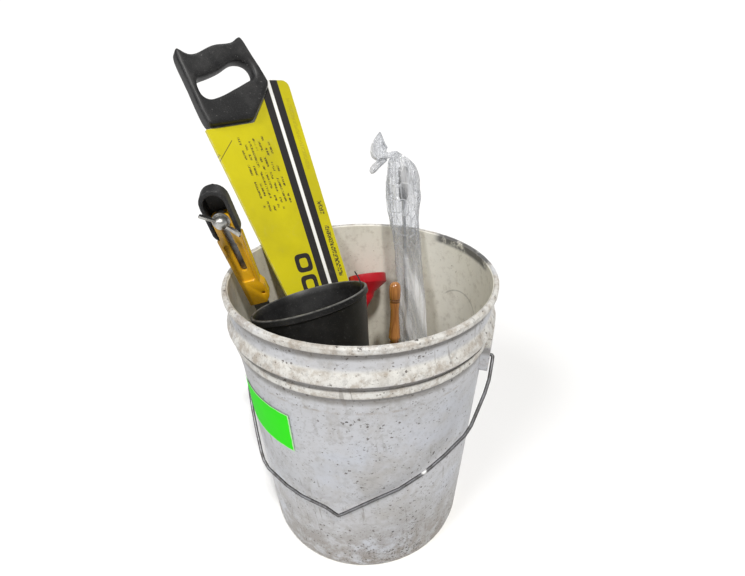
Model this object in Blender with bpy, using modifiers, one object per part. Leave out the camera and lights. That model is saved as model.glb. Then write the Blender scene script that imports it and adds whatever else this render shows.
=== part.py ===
"""Tool bucket organizer: a five-gallon pail holding hand tools stood on end.

Run with: blender --background --python part.py
Metres, +Z up. The origin is the centre of the pail's bottom plane and -Y is the front.
"""

import math

import bmesh
import bpy
from mathutils import Matrix, Vector

MM = 0.001
GAP = 0.3  # clearance between touching pieces, mm

# Pail, a standard five-gallon size, all in mm
PAIL_H = 368.0
BODY_R0, BODY_R300 = 132.3, 144.4  # outer radius of the tapered wall at z = 0 and z = 300
WALL = 2.3
FLOOR_TOP = 5.5
FOOT_R = 116.0
RIM_R = 151.0
PAIL_STEPS = 60

# Bail: bare steel wire hung in two ears
WIRE_R = 2.0
EAR_AZIMUTH = math.radians(-20.0)
EAR_Z = 285.0
EAR_R = 152.0
BAIL_HANG = math.radians(46.0)  # swing forward from straight down, at rest on the wall

# Handsaw in its sleeve
SAW_ORIGIN = (-91.3, 232.7, 537.2)  # top corner of the sleeve, on the back edge
SAW_YAW, SAW_PITCH, SAW_ROLL = map(math.radians, (38.0, -32.6, 4.8))
SLEEVE_L = 632.0
SLEEVE_T = 4.0
BLADE_T = 1.0
TOE_W = 34.0
HEEL_W, HEEL_DROP = 129.5, 61.0
HANDLE_T = 20.0
TOOTH_PITCH = 6.0

# Jab saw: cast body, bow grip, clamped blade
JAB_TOE = (-59.2, 62.6, 4.0)
JAB_UP = (-0.1848, -0.1626, 0.9692)
JAB_MID = 439.6  # distance of the grip's middle from the toe
CLAMP_Z = 6.0  # the clamp bolt above the grip's middle
JAB_FACE = (0.10, -1.0, 0.0)  # the way the clamp faces, before squaring to JAB_UP
GRIP_W, GRIP_DEEP = 29.0, 19.0
JAB_BLADE_T = 1.2

# Plant pot
POT_C = (-57.6, -25.4, 347.5)
POT_UP = (-0.231, 0.265, 0.936)
POT_R = 65.5
POT_DEEP = 112.0
POT_TAPER = math.radians(12.0)

# Cable tie, in the pot: its curve out from the pot's axis and up, and its turn about the axis
TIE_TURN = math.radians(5.0)
TIE_W, TIE_T = 4.8, 1.4
TIE_PATH = ((18.0, -104.0), (30.0, -76.0), (45.0, -42.0), (56.5, -14.0), (59.6, 0.0),
            (58.8, 8.0), (56.4, 16.0))

# Funnel
FUNNEL_C = (8.5, 112.0, 307.0)
FUNNEL_UP = (-0.10, 0.53, 0.84)
FUNNEL_R = 26.0
SPOUT_END = (-5.0, 94.0, 8.0)

# Rod in a knotted clear bag
ROD_TOE = (66.0, -26.0, 8.0)
ROD_UP = (-0.018, 0.354, 0.935)
ROD_R = 2.5
ROD_L = 468.0
CAP_R, CAP_L = 6.0, 42.0

# Wood-handled file
FILE_TOE = (41.0, 10.0, 7.0)
FILE_TOP = (43.8, 62.5, 321.0)
FILE_HANDLE_L = 98.0


def clear_scene():
    for ob in list(bpy.data.objects):
        bpy.data.objects.remove(ob, do_unlink=True)


def collection(name):
    col = bpy.data.collections.new(name)
    bpy.context.scene.collection.children.link(col)
    return col


def material(name, colour, roughness, metallic=0.0, alpha=1.0):
    mat = bpy.data.materials.new(name)
    mat.use_nodes = True
    bsdf = mat.node_tree.nodes["Principled BSDF"]
    bsdf.inputs["Base Color"].default_value = (*colour, 1.0)
    bsdf.inputs["Roughness"].default_value = roughness
    bsdf.inputs["Metallic"].default_value = metallic
    bsdf.inputs["Alpha"].default_value = alpha
    return mat


def add(name, data, mat, parent=None, col=None):
    ob = bpy.data.objects.new(name, data)
    (col or PARTS).objects.link(ob)
    if mat:
        data.materials.append(mat)
    ob.parent = parent
    return ob


def frame(name, origin, right, up):
    """An empty whose +Z is up and whose +X is as near to right as that allows."""
    z = Vector(up).normalized()
    x = Vector(right)
    x = (x - z * x.dot(z)).normalized()
    m = Matrix((x, z.cross(x), z)).transposed().to_4x4()
    m.translation = Vector(origin) * MM
    empty = bpy.data.objects.new(name, None)
    empty.empty_display_size = 0.03
    PARTS.objects.link(empty)
    empty.matrix_world = m
    return empty


def screw_mesh(name, profile, closed):
    """The wire of a turned profile, (radius, z) in mm, running down its outer side."""
    bm = bmesh.new()
    vs = [bm.verts.new((r * MM, 0.0, z * MM)) for r, z in profile]
    for a, b in zip(vs, vs[1:]):
        bm.edges.new((a, b))
    if closed:
        bm.edges.new((vs[-1], vs[0]))
    me = bpy.data.meshes.new(name)
    bm.to_mesh(me)
    bm.free()
    return me


def turned(name, profile, steps, mat, parent=None, closed=False, col=None):
    ob = add(name, screw_mesh(name, profile, closed), mat, parent, col)
    sc = ob.modifiers.new("turn", "SCREW")
    sc.axis = "Z"
    sc.steps = sc.render_steps = steps
    sc.use_merge_vertices = True
    sc.merge_threshold = 0.00001
    sc.use_smooth_shade = True
    return ob


def to_mesh(ob):
    """Replaces a curve object by the welded mesh it evaluates to."""
    bpy.context.view_layer.update()
    graph = bpy.context.evaluated_depsgraph_get()
    me = bpy.data.meshes.new_from_object(ob.evaluated_get(graph))
    bm = bmesh.new()
    bm.from_mesh(me)
    bmesh.ops.remove_doubles(bm, verts=bm.verts, dist=0.000005)
    bm.to_mesh(me)
    bm.free()
    name, curve, parent, col = ob.name, ob.data, ob.parent, ob.users_collection[0]
    local = ob.matrix_basis.copy()
    bpy.data.objects.remove(ob)
    bpy.data.curves.remove(curve)
    new = bpy.data.objects.new(name, me)
    col.objects.link(new)
    new.parent = parent
    new.matrix_basis = local
    return new


def plate(name, loops, y0, y1, mat, parent=None, col=None):
    """A flat outline in the XZ plane, in mm, between depths y0 and y1. Later loops are holes."""
    cu = bpy.data.curves.new(name, "CURVE")
    cu.dimensions = "2D"
    cu.fill_mode = "BOTH"
    cu.extrude = (y1 - y0) / 2 * MM
    for loop in loops:
        sp = cu.splines.new("POLY")
        sp.points.add(len(loop) - 1)
        for p, (x, z) in zip(sp.points, loop):
            p.co = (x * MM, z * MM, 0.0, 1.0)
        sp.use_cyclic_u = True
    ob = add(name, cu, mat, parent, col)
    ob.rotation_euler = (math.pi / 2, 0.0, 0.0)
    ob.location = (0.0, (y0 + y1) / 2 * MM, 0.0)
    return to_mesh(ob)


def rounded(corners, steps=4):
    """A polygon whose (x, z, radius) corners are filleted."""
    out = []
    n = len(corners)
    for i, (x, z, r) in enumerate(corners):
        p = Vector((x, z))
        a = Vector(corners[i - 1][:2]) - p
        b = Vector(corners[(i + 1) % n][:2]) - p
        if r <= 0:
            out.append((x, z))
            continue
        half = a.angle(b) / 2
        cut = min(r / math.tan(half), a.length * 0.49, b.length * 0.49)
        r = cut * math.tan(half)
        a.normalize()
        b.normalize()
        centre = p + (a + b).normalized() * (r / math.sin(half))
        s, e = p + a * cut - centre, p + b * cut - centre
        turn = s.angle_signed(e)
        for k in range(steps + 1):
            v = s.copy()
            v.rotate(Matrix.Rotation(-turn * k / steps, 2))
            out.append(tuple(centre + v))
    return out


def cylinder(name, r, depth, loc, axis, mat, steps=24, parent=None, col=None):
    bm = bmesh.new()
    bmesh.ops.create_cone(bm, cap_ends=True, segments=steps, radius1=r * MM,
                          radius2=r * MM, depth=depth * MM)
    me = bpy.data.meshes.new(name)
    bm.to_mesh(me)
    bm.free()
    ob = add(name, me, mat, parent, col)
    ob.rotation_euler = Vector(axis).to_track_quat("Z", "Y").to_euler()
    ob.location = Vector(loc) * MM
    return ob


def box(name, size, loc, mat, parent=None, col=None):
    bm = bmesh.new()
    bmesh.ops.create_cube(bm, size=1.0)
    bmesh.ops.scale(bm, vec=Vector(size) * MM, verts=bm.verts)
    me = bpy.data.meshes.new(name)
    bm.to_mesh(me)
    bm.free()
    ob = add(name, me, mat, parent, col)
    ob.location = Vector(loc) * MM
    return ob


def boolean(ob, cutter, operation="DIFFERENCE"):
    mod = ob.modifiers.new(operation.lower(), "BOOLEAN")
    mod.operation = operation
    mod.solver = "EXACT"
    mod.object = cutter
    cutter.hide_render = True
    cutter.display_type = "WIRE"
    return mod


def bevel(ob, width, segments=2, angle=50.0):
    mod = ob.modifiers.new("round", "BEVEL")
    mod.width = width * MM
    mod.segments = segments
    mod.limit_method = "ANGLE"
    mod.angle_limit = math.radians(angle)
    return mod


def body_r(z):
    return BODY_R0 + (BODY_R300 - BODY_R0) * z / 300.0


def arc(cx, cz, r, a0, a1, n):
    """Points on a circle from angle a0 to a1, in degrees."""
    ts = [math.radians(a0 + (a1 - a0) * k / n) for k in range(n + 1)]
    return [(cx + r * math.cos(t), cz + r * math.sin(t)) for t in ts]


def build_pail():
    plastic = material("pail_hdpe", (0.74, 0.73, 0.69), 0.45)
    inner = [(0.0, FLOOR_TOP)]
    inner += arc(115.6, FLOOR_TOP + 15.0, 15.0, -90, 0, 4)
    inner += [(body_r(200) - WALL, 200.0), (body_r(PAIL_H - 1.6) - WALL, PAIL_H - 1.6)]
    bead = [(146.6, PAIL_H), (149.4, PAIL_H), (RIM_R, 366.4), (RIM_R, 361.4), (149.8, 360.0)]
    flanges = [
        (146.6, 359.4), (146.6, 338.2), (147.4, 336.8),
        (152.2, 327.2), (152.0, 325.6), (147.0, 324.6),  # upper flange, sloped on top
        (146.2, 317.4), (148.0, 316.4), (148.0, 308.8), (145.2, 307.6),  # lower flange
    ]
    wall = [(body_r(287) + 0.6, 287.0), (body_r(285.6), 285.6)]  # stacking line
    foot = arc(FOOT_R, 17.0, 17.0, 0, -90, 4)
    under = [(108.0, 0.0), (106.0, 2.6), (19.0, 2.6), (17.0, 0.0), (0.0, 0.0)]  # gate pad level with the foot ring
    profile = inner + bead + flanges + wall + foot + under
    pail = turned("bucket", profile, PAIL_STEPS, plastic)
    core = turned("wall_core", [(0, 330.0), (body_r(330) - 1.2, 330.0), (body_r(240) - 1.2, 240.0),
                                (0, 240.0)], PAIL_STEPS, plastic, col=TOOLS)
    for side, turn in (("near", EAR_AZIMUTH), ("far", EAR_AZIMUTH + math.pi)):
        out = Vector((math.cos(turn), math.sin(turn), 0.0))
        ear = plate(f"ear_{side}", [rounded([(-21, 27, 0), (-21, -6, 0), (-12, -15, 6),
                                             (12, -15, 6), (21, -6, 0), (21, 27, 0)])],
                    -8.0, 8.0, plastic, None, TOOLS)
        ear.matrix_basis = (Matrix.Translation((out * (EAR_R - 8.0) + Vector((0, 0, EAR_Z))) * MM)
                            @ Matrix.Rotation(turn + math.pi / 2, 4, "Z") @ ear.matrix_basis)
        boolean(ear, core)
        boolean(pail, ear, "UNION")
        hole = cylinder(f"ear_hole_{side}", WIRE_R + 0.15, 15.0,
                        out * (EAR_R + 1.0) + Vector((0, 0, EAR_Z)), out, None, 24, None, TOOLS)
        boolean(pail, hole)
    return pail


def build_label():
    """A sticker wrapped on the wall, left of the front."""
    paper = material("label_green", (0.05, 0.72, 0.03), 0.5)
    z0, z1 = 212.0, 266.0
    start, stop = math.radians(-122.8), math.radians(-160.0)
    bm = bmesh.new()
    cols = []
    n = 14
    for i in range(n + 1):
        a = start + (stop - start) * i / n
        cols.append([bm.verts.new(((body_r(z) + 0.7) * math.cos(a) * MM,
                                   (body_r(z) + 0.7) * math.sin(a) * MM, z * MM))
                     for z in (z0, z1)])
    for a, b in zip(cols, cols[1:]):
        bm.faces.new((a[0], a[1], b[1], b[0]))
    bmesh.ops.recalc_face_normals(bm, faces=bm.faces)
    me = bpy.data.meshes.new("label")
    bm.to_mesh(me)
    bm.free()
    ob = add("label", me, paper)
    so = ob.modifiers.new("film", "SOLIDIFY")
    so.thickness = 0.25 * MM
    so.offset = 0.0
    return ob


# The wire's path in the plane it hangs in, mm: along the hinge axis, and away from it.
# Use has bent it: a kink at the lowest point, tight and slack corners beside it.
BAIL_PATH = (
    (-155.6, 8.0), (-155.4, 20.0), (-150.5, 29.0), (-144.0, 40.0), (-139.0, 60.0),
    (-132.6, 80.0), (-127.2, 94.0), (-115.6, 118.0), (-103.0, 141.5), (-90.0, 164.0),
    (-84.0, 172.5), (-75.5, 180.0), (-48.0, 193.0), (-27.0, 199.6), (4.0, 204.6), (20.0, 209.6),
    (27.0, 205.0), (54.0, 185.0), (81.0, 165.5), (105.0, 142.0), (123.0, 119.0), (140.0, 94.0),
    (145.0, 82.0), (149.5, 62.0), (153.5, 44.0), (155.6, 28.0), (155.6, 8.0),
)


def build_bail():
    steel = material("bail_wire", (0.30, 0.30, 0.31), 0.35, 1.0)
    along = (math.cos(EAR_AZIMUTH), math.sin(EAR_AZIMUTH), 0.0)
    sway = Vector((math.sin(EAR_AZIMUTH), -math.cos(EAR_AZIMUTH), 0.0)) * math.sin(BAIL_HANG)
    down = sway - Vector((0, 0, math.cos(BAIL_HANG)))
    pivot = frame("bail_axis", (0, 0, EAR_Z), along, -down)
    hook = EAR_R - 3.5
    path = [(-hook, 0.0), (-154.0, 0.0), (-155.4, 1.6)] + list(BAIL_PATH)
    path += [(155.4, 1.6), (154.0, 0.0), (hook, 0.0)]
    cu = bpy.data.curves.new("bail", "CURVE")
    cu.dimensions = "3D"
    cu.bevel_depth = WIRE_R * MM
    cu.bevel_resolution = 2
    cu.use_fill_caps = True
    sp = cu.splines.new("POLY")
    sp.points.add(len(path) - 1)
    for p, (a, d) in zip(sp.points, path):
        p.co = (a * MM, 0.0, -d * MM, 1.0)
    ob = add("bail", cu, steel, pivot)
    ob = to_mesh(ob)
    ob.data.materials.clear()
    ob.data.materials.append(steel)
    ob.data.shade_smooth()
    return ob


def tooth_x(z):
    """The sleeve's tooth-side edge at height z, mm."""
    k = (-z - HEEL_DROP) / (SLEEVE_L - HEEL_DROP)
    return -HEEL_W + (HEEL_W - TOE_W) * k


def build_saw():
    card = material("saw_sleeve", (0.86, 0.78, 0.03), 0.45)
    steel = material("saw_blade", (0.55, 0.56, 0.57), 0.3, 1.0)
    black = material("saw_handle", (0.025, 0.025, 0.028), 0.42)
    turn = (Matrix.Rotation(SAW_YAW, 4, "Z") @ Matrix.Rotation(SAW_PITCH, 4, "X")
            @ Matrix.Rotation(SAW_ROLL, 4, "Y"))
    axis = bpy.data.objects.new("saw_axis", None)
    PARTS.objects.link(axis)
    axis.matrix_world = Matrix.Translation(Vector(SAW_ORIGIN) * MM) @ turn

    # the sleeve's mouth follows the front of the handle
    outline = rounded([
        (0.0, 0.0, 9.0), (-29.5, 0.0, 0.0), (-31.0, -8.5, 0.0), (-65.5, -54.5, 0.0),
        (-HEEL_W, -HEEL_DROP, 1.0), (-TOE_W, -SLEEVE_L, 6.0), (0.0, -SLEEVE_L, 4.0)])
    sleeve = plate("saw_sleeve", [outline], -SLEEVE_T / 2, SLEEVE_T / 2, card, axis)
    room = 3.0
    pocket = plate("sleeve_pocket", [[
        (-room, 20.0), (tooth_x(20.0) + room, 20.0), (-TOE_W + room, -SLEEVE_L + 4.0),
        (-room, -SLEEVE_L + 4.0)]], -BLADE_T / 2 - GAP, BLADE_T / 2 + GAP, None, axis, TOOLS)
    boolean(sleeve, pocket)

    # blade: straight back, toothed edge, tang inside the handle
    edge = []
    inset = room + 1.0
    z = -SLEEVE_L + 14.0
    while z < -HEEL_DROP - 8.0:
        edge.append((tooth_x(z) + inset, z))
        edge.append((tooth_x(z + TOOTH_PITCH / 2) + inset + 2.2, z + TOOTH_PITCH * 0.62))
        z += TOOTH_PITCH
    top = [(tooth_x(-66.0) + inset + 2.5, -62.0), (tooth_x(-66.0) + inset + 2.5, -40.0),
           (-70.0, -32.0), (-46.0, -10.0), (-inset - 26.0, -12.0), (-inset, -20.0)]
    blade_loop = edge + top + [(-inset, -SLEEVE_L + 12.0), (-TOE_W + 8.0, -SLEEVE_L + 12.0)]
    blade = plate("saw_blade", [blade_loop], -BLADE_T / 2, BLADE_T / 2, steel, axis)

    grip = rounded([
        (-138.5, 30.0, 3.0), (-137.0, 35.5, 3.0), (-125.0, 26.0, 9.0), (-114.0, 29.0, 14.0),
        (-91.0, 41.0, 30.0), (-62.0, 45.0, 6.0), (-55.5, 54.0, 3.0), (-50.0, 54.0, 3.0),
        (-32.0, -3.0, 5.0), (-31.5, -8.0, 3.0), (-66.0, -52.5, 4.0), (-126.5, -59.0, 4.0),
        (-130.5, -40.0, 20.0), (-134.0, -10.0, 30.0), (-138.5, 20.0, 12.0)])
    hand = rounded([
        (-125.0, -2.0, 7.0), (-109.0, 1.5, 16.0), (-89.0, 9.5, 16.0), (-71.0, 21.0, 12.0),
        (-51.5, 20.5, 9.0), (-47.5, 1.0, 8.0), (-73.0, -11.5, 20.0), (-97.0, -22.5, 20.0),
        (-114.0, -28.0, 9.0), (-123.5, -24.0, 8.0)])
    handle = plate("saw_handle", [grip, hand], -HANDLE_T / 2, HANDLE_T / 2, black, axis)
    bevel(handle, 4.0, 2, 55.0)
    slot = plate("handle_slot", [[
        (-127.6, -75.0), (-127.6, -36.0), (-69.0, -28.0), (-44.0, -6.0), (-8.0, -6.0),
        (-8.0, -75.0)]], -BLADE_T / 2 - GAP, BLADE_T / 2 + GAP, None, axis, TOOLS)
    boolean(handle, slot)
    return sleeve, blade, handle


def build_jab_saw():
    yellow = material("jab_body", (0.80, 0.47, 0.02), 0.35)
    black = material("jab_grip", (0.03, 0.03, 0.032), 0.5)
    steel = material("jab_blade", (0.33, 0.34, 0.35), 0.4, 1.0)
    zinc = material("jab_wing_nut", (0.62, 0.62, 0.60), 0.28, 1.0)
    up = Vector(JAB_UP).normalized()
    face = Vector(JAB_FACE)
    face = (face - up * face.dot(up)).normalized()
    right = (-face).cross(up)
    middle = Vector(JAB_TOE) + up * JAB_MID + right * 2.5
    axis = frame("jab_axis", middle, right, up)

    # grip: a deep bow, open to the front and to the body below
    half = GRIP_W / 2
    outer = rounded([(-half, 38.0, 14.2), (half, 38.0, 14.2), (half, -9.0, 6.0),
                     (12.0, -14.0, 1.0), (-12.0, -14.0, 1.0), (-half, -9.0, 6.0)], 6)
    grip = plate("jab_grip", [outer], -GRIP_DEEP / 2, GRIP_DEEP / 2, black, axis)
    bevel(grip, 2.2, 2, 60.0)
    room = half - 4.2
    inner = rounded([(-room, 33.0, room - 0.2), (room, 33.0, room - 0.2), (room, -30.0, 0),
                     (-room, -30.0, 0)], 6)
    hollow = plate("grip_hollow", [inner], -20.0, GRIP_DEEP / 2 - 2.0, None, axis, TOOLS)
    boolean(grip, hollow)

    # cast body: tongue in the grip, tapered channel, collar at the mouth
    cast = rounded([
        (-9.8, 10.0, 2.0), (9.8, 10.0, 2.0), (9.8, -14.4, 0), (13.4, -14.6, 1.5),
        (10.8, -74.0, 2.0), (14.2, -80.0, 3.0), (14.8, -96.0, 5.0), (9.0, -103.6, 2.0),
        (-10.8, -103.6, 2.0), (-11.2, -76.0, 4.0), (-13.4, -14.6, 1.5), (-9.8, -14.4, 0)], 3)
    body = plate("jab_body", [cast], -8.2, 7.0, yellow, axis)
    channel = plate("channel", [rounded([(-9.8, -22.0, 3.0), (9.8, -22.0, 3.0),
                                         (7.4, -71.0, 3.0), (-7.4, -71.0, 3.0)], 3)],
                    -12.0, -5.5, None, axis, TOOLS)
    boolean(body, channel)
    bolt_slot = plate("bolt_slot", [rounded([(-3.4, 20.0, 0), (3.4, 20.0, 0), (3.4, -58.0, 3.3),
                                             (-3.4, -58.0, 3.3)], 4)],
                      -12.0, 0.0, None, axis, TOOLS)
    boolean(body, bolt_slot)
    blade_way = box("blade_way", (19.4, JAB_BLADE_T + 2 * GAP, 140.0), (0, 0, -50.0), None, axis, TOOLS)
    boolean(body, blade_way)
    head_way = box("head_way", (13.4, 5.4, 30.0), (0, 2.8, 13.0 + CLAMP_Z - 7.0), None, axis, TOOLS)
    boolean(body, head_way)
    hole = cylinder("collar_hole", 1.8, 8.0, (9.5, -8.6, -90.0), (0, 1, 0), None, 12, axis, TOOLS)
    boolean(body, hole)

    # blade: tang with a bolt hole, then a long tapered edge with teeth on one side
    tip = -JAB_MID + 4.0
    loop = [(-6.0, CLAMP_Z), (-6.0, -96.0), (-9.0, -100.0), (-9.0, -112.0)]
    back_end = [(-3.0, tip), (0.0, tip)]
    teeth = []
    z = tip + 4.0
    while z < -114.0:
        x = 2.0 + 6.6 * (z - tip) / (-112.0 - tip)
        teeth.append((x + 0.4, z))
        teeth.append((x - 1.6, z + 3.2))
        z += 5.0
    crown = arc(0.0, CLAMP_Z, 6.0, 0, 180, 8)
    loop = crown[::-1][:1] + loop[1:] + back_end + teeth
    loop += [(9.0, -112.0), (9.0, -100.0), (6.0, -96.0)] + crown[:-1]
    hole = [(x, z) for x, z in arc(0.0, CLAMP_Z, 3.3, 0, 345, 23)]
    blade = plate("jab_blade", [loop, hole], -JAB_BLADE_T / 2, JAB_BLADE_T / 2, steel, axis)

    # clamp: bolt from behind, washer and domed wing nut in front
    lying = (Matrix.Translation(Vector((0, 0, CLAMP_Z)) * MM)
             @ Matrix.Rotation(math.pi / 2, 4, "X"))  # turned parts' +Z to the front, -Y
    bolt = turned("jab_bolt", [(0, 14.2), (2.6, 14.2), (3.0, 13.8), (3.0, -1.1), (5.6, -1.1),
                               (6.0, -1.6), (6.0, -3.4), (4.6, -4.4), (0, -4.4)],
                  24, zinc, axis)
    bolt.matrix_basis = lying
    washer = turned("jab_washer", [(9.0, 10.0), (9.0, 8.8), (3.3, 8.8), (3.3, 10.0)],
                    32, zinc, axis, closed=True)
    washer.matrix_basis = lying
    nut = turned("jab_wing_nut", [
        (0, 19.6), (2.6, 19.2), (4.8, 17.9), (6.2, 16.0), (6.8, 13.6), (7.2, 10.3),
        (3.15, 10.3), (3.15, 14.6), (0, 14.6)], 24, zinc, axis)
    nut.matrix_basis = lying
    for side in (1, -1):
        wing = plate(f"wing_{side}", [rounded([
            (side * 4.0, 12.4, 0), (side * 13.0, 12.6, 3), (side * 21.5, 17.0, 3),
            (side * 21.5, 21.5, 3), (side * 13.0, 18.5, 3), (side * 4.0, 15.6, 0)])],
            -1.3, 1.3, zinc, axis, TOOLS)
        # outlines are drawn along +Z, so turn them to the front and then to the wings' slant
        wing.matrix_basis = (lying @ Matrix.Rotation(math.radians(-46.0), 4, "Z")
                             @ wing.matrix_basis)
        boolean(nut, wing, "UNION")
    return body


def build_pot():
    black = material("plant_pot", (0.02, 0.02, 0.022), 0.4)
    axis = frame("pot_axis", POT_C, (1, 0, 0), POT_UP)
    slope = math.tan(POT_TAPER)
    neck = POT_R - 2.6
    base = neck - (POT_DEEP - 7.0) * slope
    t = 1.4
    profile = [
        (POT_R - 1.2, 0.0), (POT_R, -1.0), (POT_R, -6.4), (POT_R - 1.2, -7.2), (neck, -7.2),
        (base + 1.2, -POT_DEEP + 2.0), (base, -POT_DEEP + 0.4), (base - 3.0, -POT_DEEP),
        (base - 7.0, -POT_DEEP), (base - 9.0, -POT_DEEP + 2.4), (7.0, -POT_DEEP + 2.4),
        (7.0, -POT_DEEP + 4.2), (base - 4.0, -POT_DEEP + 4.2), (base - t, -POT_DEEP + 6.0),
        (neck - t, -8.0), (neck - t + 0.6, -1.2), (neck + 0.4, 0.0)]
    pot = turned("plant_pot", profile, 48, black, axis, closed=True)
    for k in range(4):
        a = math.pi / 4 + k * math.pi / 2
        drain = cylinder(f"drain_{k}", 4.5, 12.0, (21 * math.cos(a), 21 * math.sin(a), -POT_DEEP + 3.0),
                         (0, 0, 1), None, 12, axis, TOOLS)
        boolean(pot, drain)


    # a cable tie's tail stands in the pot, against the back of the lip
    tie_black = material("cable_tie", (0.015, 0.015, 0.017), 0.35)
    left, right = [], []
    for i, (x, z) in enumerate(TIE_PATH):
        a, b = TIE_PATH[max(i - 1, 0)], TIE_PATH[min(i + 1, len(TIE_PATH) - 1)]
        d = Vector((b[0] - a[0], b[1] - a[1])).normalized() * (TIE_T / 2)
        left.append((x - d.y, z + d.x))
        right.append((x + d.y, z - d.x))
    tie = plate("cable_tie", [left + right[::-1]], -TIE_W / 2, TIE_W / 2, tie_black, axis)
    tie.matrix_basis = Matrix.Rotation(TIE_TURN, 4, "Z") @ tie.matrix_basis
    return pot


def build_funnel():
    red = material("funnel", (0.62, 0.02, 0.03), 0.35)
    up = Vector(FUNNEL_UP).normalized()
    mouth = Vector(FUNNEL_C)
    # the cup's axis, then the spout, bent at its neck and running down to the floor
    path = [(mouth - up * d, r) for d, r in ((0.0, FUNNEL_R), (11.0, FUNNEL_R), (12.4, FUNNEL_R - 0.9),
                                             (24.0, 7.6), (28.5, 5.6))]
    path += [(Vector(p), r) for p, r in (((4.6, 94.0, 272.0), 5.2), ((-1.5, 93.5, 250.0), 5.0),
                                         (SPOUT_END, 4.2))]
    cu = bpy.data.curves.new("funnel", "CURVE")
    cu.dimensions = "3D"
    cu.bevel_depth = MM
    cu.bevel_resolution = 12
    sp = cu.splines.new("POLY")
    sp.points.add(len(path) - 1)
    for p, (co, r) in zip(sp.points, path):
        p.co = (*(co * MM), 1.0)
        p.radius = r
    ob = to_mesh(add("funnel", cu, red))
    ob.data.materials.clear()
    ob.data.materials.append(red)
    ob.data.shade_smooth()
    so = ob.modifiers.new("wall", "SOLIDIFY")
    so.thickness = 1.2 * MM
    so.offset = -1.0
    return ob


def ring(bm, centre, rx, ry, n, twist=0.0):
    """One section of the bag: an ellipse with shallow gathers."""
    vs = []
    for k in range(n):
        a = 2 * math.pi * k / n
        pleat = 1.0 + 0.06 * math.cos(5 * a + twist)
        vs.append(bm.verts.new((centre[0] * MM + rx * pleat * math.cos(a) * MM,
                                centre[1] * MM + ry * pleat * math.sin(a) * MM,
                                centre[2] * MM)))
    return vs


# Bag sections up the rod, mm: z, offset across, half width, half depth
BAG_SECTIONS = (
    (3.0, 8.0, 20.0, 13.0), (60.0, 8.5, 20.0, 13.5), (130.0, 8.5, 20.0, 14.0),
    (220.0, 8.0, 20.0, 14.0), (300.0, 7.0, 19.5, 14.0), (350.0, 4.0, 19.5, 14.5),
    (392.0, 0.0, 20.5, 15.0), (425.0, -1.0, 23.5, 15.5), (452.0, -0.5, 23.0, 15.0),
    (470.0, -1.5, 20.0, 13.5), (479.0, -4.5, 14.0, 10.0),
)
# The gathered neck, knot and flared ear: x, z, half width, half depth, lean in degrees
BAG_NECK = (
    (-12.0, 482.0, 8.0, 6.0, 50.0), (-17.5, 483.5, 4.4, 4.0, 75.0), (-22.0, 484.0, 4.2, 3.8, 70.0),
    (-26.5, 487.0, 8.5, 4.0, 55.0), (-30.0, 495.0, 12.5, 4.0, 28.0), (-32.0, 506.0, 9.0, 3.0, 8.0),
    (-32.5, 515.0, 4.0, 2.2, 0.0),
)


def build_rod():
    steel = material("rod_shaft", (0.45, 0.46, 0.48), 0.3, 1.0)
    black = material("rod_cap", (0.03, 0.03, 0.035), 0.45)
    film = material("poly_bag", (0.85, 0.87, 0.88), 0.2, 0.0, 0.4)
    axis = frame("rod_axis", ROD_TOE, (1, 0, 0), ROD_UP)
    turned("rod_shaft", [(0, ROD_L - 8.0), (ROD_R, ROD_L - 8.0), (ROD_R, 1.0), (ROD_R - 0.8, 0.0),
                         (0, 0)], 16, steel, axis)
    bore = ROD_R + GAP
    z1 = ROD_L
    z0 = ROD_L - CAP_L
    turned("rod_cap", [
        (0, z1), (CAP_R - 1.5, z1), (CAP_R, z1 - 1.5), (CAP_R, z1 - 12.0), (CAP_R - 0.9, z1 - 13.0),
        (CAP_R - 0.9, z1 - 15.0), (CAP_R, z1 - 16.0), (CAP_R, z0 + 6.0), (CAP_R - 2.0, z0),
        (bore, z0), (bore, z1 - 7.0), (0, z1 - 7.0)], 20, black, axis)

    n = 20
    bm = bmesh.new()
    rings = [ring(bm, (x, 1.5, z), rx, ry, n, z * 0.01) for z, x, rx, ry in BAG_SECTIONS]
    for x, z, rx, ry, lean in BAG_NECK:
        vs = ring(bm, (0, 0, 0), rx, ry, n)
        tilt = (Matrix.Translation(Vector((x, 1.5, z)) * MM)
                @ Matrix.Rotation(math.radians(-lean), 4, "Y"))
        bmesh.ops.transform(bm, matrix=tilt, verts=vs)
        rings.append(vs)
    for a, b in zip(rings, rings[1:]):
        for k in range(n):
            m = (k + 1) % n
            bm.faces.new((a[k], a[m], b[m], b[k]))
    bm.faces.new(rings[-1])
    bmesh.ops.recalc_face_normals(bm, faces=bm.faces)
    me = bpy.data.meshes.new("poly_bag")
    bm.to_mesh(me)
    bm.free()
    me.shade_smooth()
    bag = add("poly_bag", me, film, axis)
    so = bag.modifiers.new("film", "SOLIDIFY")
    so.thickness = 0.8 * MM
    so.offset = -1.0
    return bag


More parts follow.
